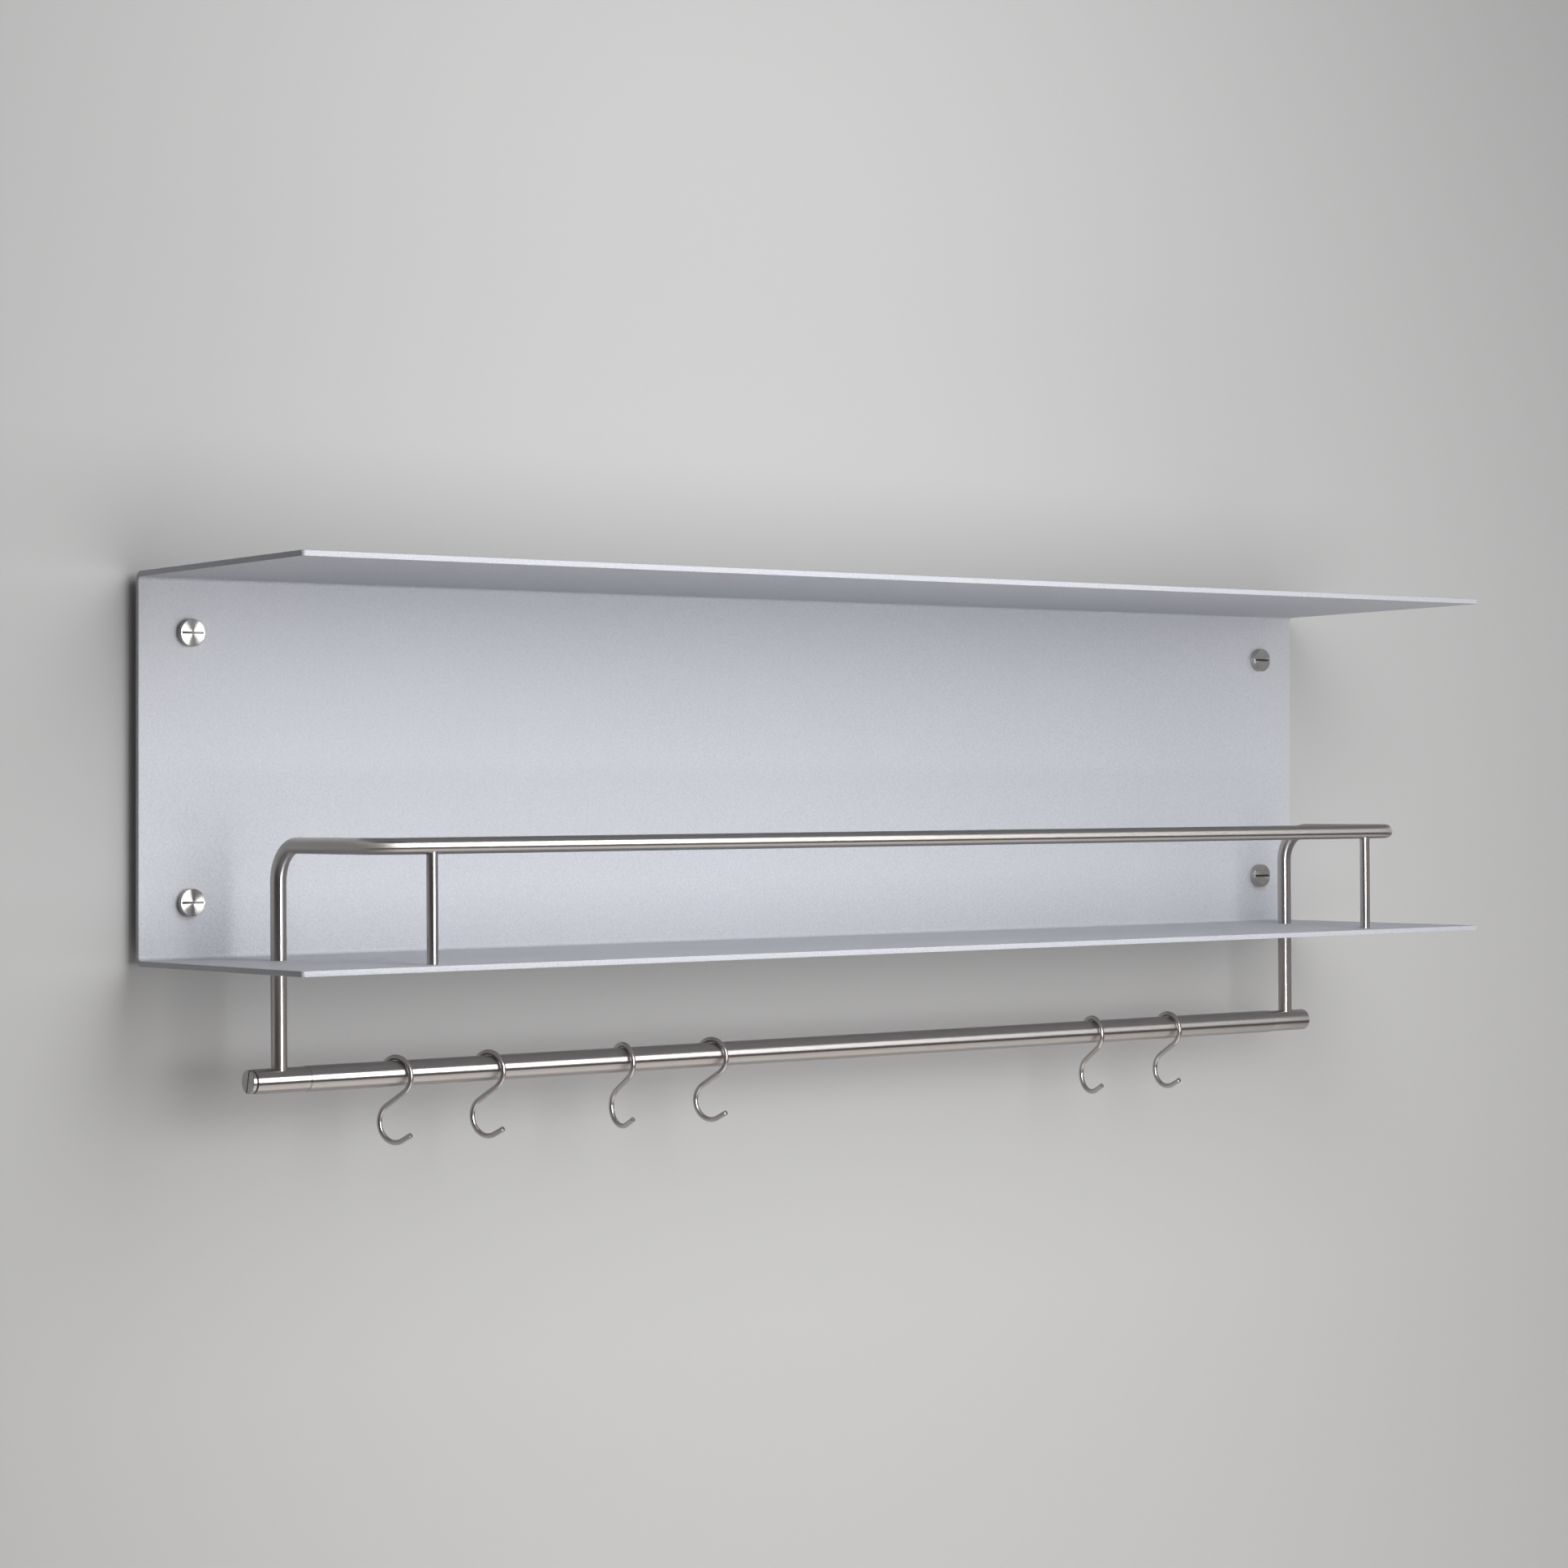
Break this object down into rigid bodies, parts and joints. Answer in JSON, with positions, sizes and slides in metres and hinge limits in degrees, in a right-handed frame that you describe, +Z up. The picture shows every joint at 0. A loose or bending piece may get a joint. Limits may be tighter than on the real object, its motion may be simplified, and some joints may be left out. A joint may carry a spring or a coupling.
{
  "type": "wall hook rack",
  "caption": "Wall-mounted double shelf of folded sheet with a bent gallery rod, a round hook rail below it and loose S-hooks.",
  "frame": {"origin": "centre of the four wall fixings, on the wall's face", "axes": "+X along the shelf to the right seen from the front, -Y out of the wall towards the user, +Z up; the wall is the plane Y = 0"},
  "size_m": [1, 0.23, 0.3574],
  "materials": {
    "sheet_coat": "silver-grey metallic powder coat, satin",
    "stainless_brushed": "stainless steel, finely polished round bar, tube and wire",
    "stainless_turned": "stainless steel, faces turned on a lathe",
    "black_bush": "matt black moulded plastic",
    "screw_steel": "stainless steel socket screws, plain"
  },
  "bodies": {
    "rack": {"shelf_body": "sheet_coat", "wall_screw_upper_left": "stainless_turned", "wall_screw_upper_right": "stainless_turned", "wall_screw_lower_left": "stainless_turned", "wall_screw_lower_right": "stainless_turned", "wall_spacer_upper_left": "black_bush", "wall_spacer_upper_right": "black_bush", "wall_spacer_lower_left": "black_bush", "wall_spacer_lower_right": "black_bush", "gallery_rail": "stainless_brushed", "front_post_left": "stainless_brushed", "front_post_right": "stainless_brushed", "post_screw_left": "screw_steel", "post_screw_right": "screw_steel", "hook_rail": "stainless_brushed", "rail_end_left": "stainless_brushed", "rail_end_right": "stainless_brushed", "end_screw": "stainless_turned", "leg_screw": "screw_steel"},
    "hook_1": {"s_hook_1": "stainless_brushed"},
    "hook_2": {"s_hook_2": "stainless_brushed"},
    "hook_3": {"s_hook_3": "stainless_brushed"},
    "hook_4": {"s_hook_4": "stainless_brushed"},
    "hook_5": {"s_hook_5": "stainless_brushed"},
    "hook_6": {"s_hook_6": "stainless_brushed"}
  },
  "joints": [
    {"name": "hook_1_swing", "type": "hinge", "parent": "rack", "child": "hook_1", "pos_m": [-0.352, -0.06692, -0.18923], "axis": [-1, 0, 0], "range_deg": [-60, 60]},
    {"name": "hook_2_swing", "type": "hinge", "parent": "rack", "child": "hook_2", "pos_m": [-0.283, -0.06692, -0.18923], "axis": [-1, 0, 0], "range_deg": [-60, 60]},
    {"name": "hook_3_swing", "type": "hinge", "parent": "rack", "child": "hook_3", "pos_m": [-0.1785, -0.06692, -0.18923], "axis": [-1, 0, 0], "range_deg": [-60, 60]},
    {"name": "hook_4_swing", "type": "hinge", "parent": "rack", "child": "hook_4", "pos_m": [-0.106, -0.06692, -0.18923], "axis": [-1, 0, 0], "range_deg": [-60, 60]},
    {"name": "hook_5_swing", "type": "hinge", "parent": "rack", "child": "hook_5", "pos_m": [0.2375, -0.06692, -0.18923], "axis": [-1, 0, 0], "range_deg": [-60, 60]},
    {"name": "hook_6_swing", "type": "hinge", "parent": "rack", "child": "hook_6", "pos_m": [0.313, -0.06692, -0.18923], "axis": [-1, 0, 0], "range_deg": [-60, 60]}
  ]
}
